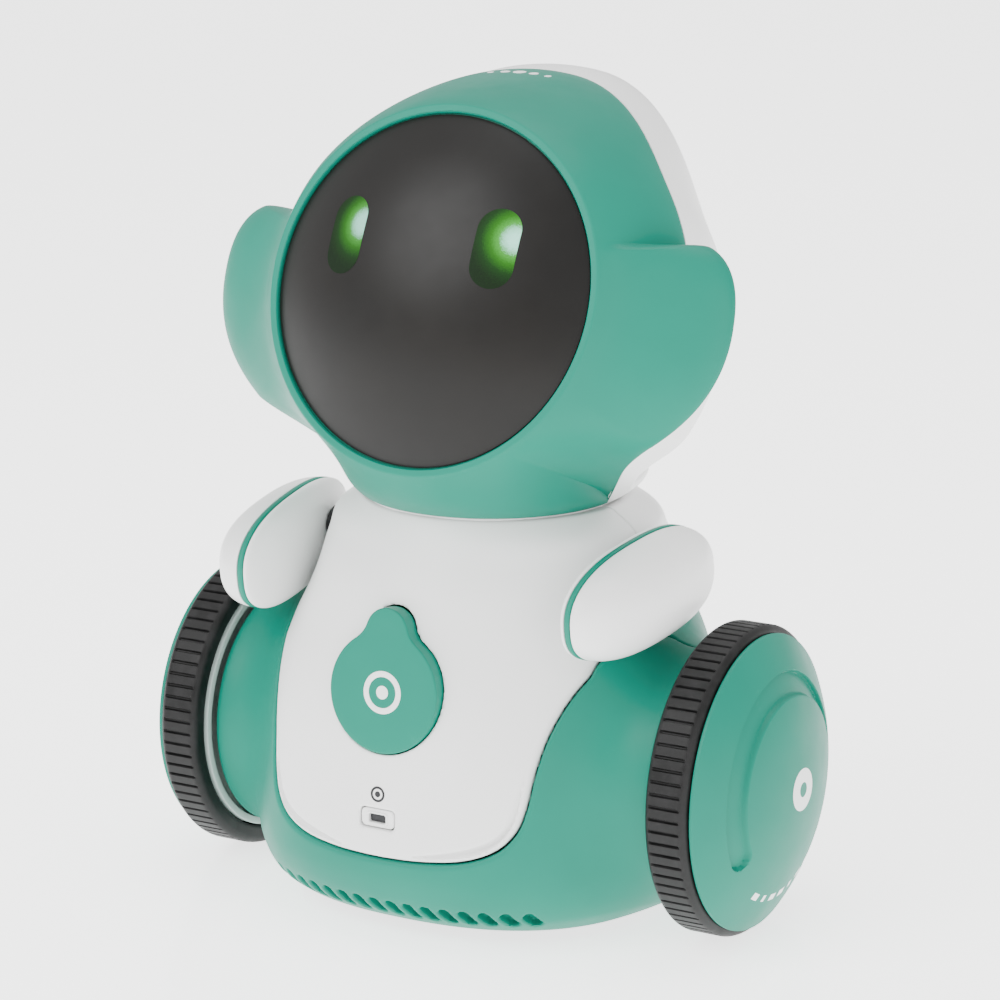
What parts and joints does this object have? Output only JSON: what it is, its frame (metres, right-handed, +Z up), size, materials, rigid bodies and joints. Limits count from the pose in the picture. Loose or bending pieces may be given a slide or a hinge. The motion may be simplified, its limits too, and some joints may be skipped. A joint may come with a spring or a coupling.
{
  "type": "two wheel robot car",
  "caption": "Round-headed table-top robot on two large driven wheels, with a domed visor, lit eyes, swinging arms, a chest button and small casters.",
  "frame": {"origin": "on the ground plane, midway between the wheels, below the centre of the box", "axes": "+Z up, -Y the way the robot faces, +X to the robot's own left"},
  "size_m": [0.1326, 0.0824, 0.1549],
  "materials": {
    "green_plastic": "soft satin moulded plastic",
    "white_plastic": "satin moulded plastic",
    "rubber": "moulded tread rubber",
    "smoked_lens": "polished smoked acrylic",
    "grey_plastic": "moulded plastic",
    "eye_lens": "lit light guide",
    "circuit_board": "solder-masked board",
    "steel": "bright",
    "brass": "machined",
    "dark_plastic": "moulded plastic"
  },
  "bodies": {
    "body": {"torso_front_panel": "white_plastic", "torso_rear_shell": "white_plastic", "hull_front_shell": "green_plastic", "hull_rear_shell": "green_plastic", "base_plate": "dark_plastic", "battery_door": "dark_plastic", "battery_pack": "grey_plastic", "main_board": "circuit_board", "speaker": "dark_plastic", "chest_switch": "dark_plastic", "record_port": "grey_plastic", "charge_socket": "steel", "neck_bearing_plate": "grey_plastic", "caster_fork_front": "grey_plastic", "caster_fork_rear": "grey_plastic", "gearbox_left": "dark_plastic", "gearbox_right": "dark_plastic", "motor_left": "steel", "motor_right": "steel", "base_screw_1": "steel", "base_screw_2": "steel", "base_screw_3": "steel", "base_screw_4": "steel"},
    "head": {"head_front_shell": "green_plastic", "head_rear_shell": "white_plastic", "visor": "smoked_lens", "eye_lens_left": "eye_lens", "eye_lens_right": "eye_lens", "eye_light_board": "circuit_board", "neck_turntable": "grey_plastic", "neck_retainer": "dark_plastic"},
    "chest_button": {"chest_button": "green_plastic"},
    "power_switch": {"power_switch_knob": "dark_plastic"},
    "caster_front": {"caster_roller_front": "dark_plastic"},
    "caster_rear": {"caster_roller_rear": "dark_plastic"},
    "arm_left": {"arm_left_outer_shell": "white_plastic", "arm_left_stripe": "green_plastic", "arm_left_inner_shell": "white_plastic", "shoulder_pin_left": "steel"},
    "wheel_left": {"tyre_left": "rubber", "rim_left": "grey_plastic", "hubcap_left": "green_plastic", "axle_left": "steel", "wheel_gear_left": "white_plastic"},
    "pinion_left": {"pinion_left": "brass", "motor_shaft_left": "steel"},
    "arm_right": {"arm_right_outer_shell": "white_plastic", "arm_right_stripe": "green_plastic", "arm_right_inner_shell": "white_plastic", "shoulder_pin_right": "steel"},
    "wheel_right": {"tyre_right": "rubber", "rim_right": "grey_plastic", "hubcap_right": "green_plastic", "axle_right": "steel", "wheel_gear_right": "white_plastic"},
    "pinion_right": {"pinion_right": "brass", "motor_shaft_right": "steel"}
  },
  "joints": [
    {"name": "head_turn", "type": "hinge", "parent": "body", "child": "head", "pos_m": [0, 0.001, 0.0774], "axis": [0, 0, 1], "range_deg": [-40, 40]},
    {"name": "chest_button_press", "type": "slide", "parent": "body", "child": "chest_button", "axis": [0, 0.9925, -0.1219], "range_m": [0, 0.0012], "stiffness_N_per_m": 600},
    {"name": "power_switch_slide", "type": "slide", "parent": "body", "child": "power_switch", "axis": [1, 0, 0], "range_m": [0, 0.003]},
    {"name": "caster_front_roll", "type": "hinge", "parent": "body", "child": "caster_front", "pos_m": [0, -0.021, 0.005], "axis": [1, 0, 0], "continuous": true},
    {"name": "caster_rear_roll", "type": "hinge", "parent": "body", "child": "caster_rear", "pos_m": [0, 0.021, 0.005], "axis": [1, 0, 0], "continuous": true},
    {"name": "arm_left_swing", "type": "hinge", "parent": "body", "child": "arm_left", "pos_m": [0.0407, 0, 0.0666], "axis": [-1, 0, 0], "range_deg": [-2, 30]},
    {"name": "wheel_left_spin", "type": "hinge", "parent": "body", "child": "wheel_left", "pos_m": [0.0525, 0, 0.029], "axis": [1, 0, 0], "continuous": true},
    {"name": "pinion_left_spin", "type": "hinge", "parent": "body", "child": "pinion_left", "pos_m": [0.031, -0.00657, 0.04704], "axis": [1, 0, 0], "continuous": true},
    {"name": "arm_right_swing", "type": "hinge", "parent": "body", "child": "arm_right", "pos_m": [-0.0407, 0, 0.0666], "axis": [-1, 0, 0], "range_deg": [-2, 30]},
    {"name": "wheel_right_spin", "type": "hinge", "parent": "body", "child": "wheel_right", "pos_m": [-0.0525, 0, 0.029], "axis": [1, 0, 0], "continuous": true},
    {"name": "pinion_right_spin", "type": "hinge", "parent": "body", "child": "pinion_right", "pos_m": [-0.031, -0.00657, 0.04704], "axis": [1, 0, 0], "continuous": true}
  ],
  "couplings": [
    {"joint": "pinion_left_spin", "follows": "wheel_left_spin", "ratio": -3},
    {"joint": "pinion_right_spin", "follows": "wheel_right_spin", "ratio": -3}
  ]
}
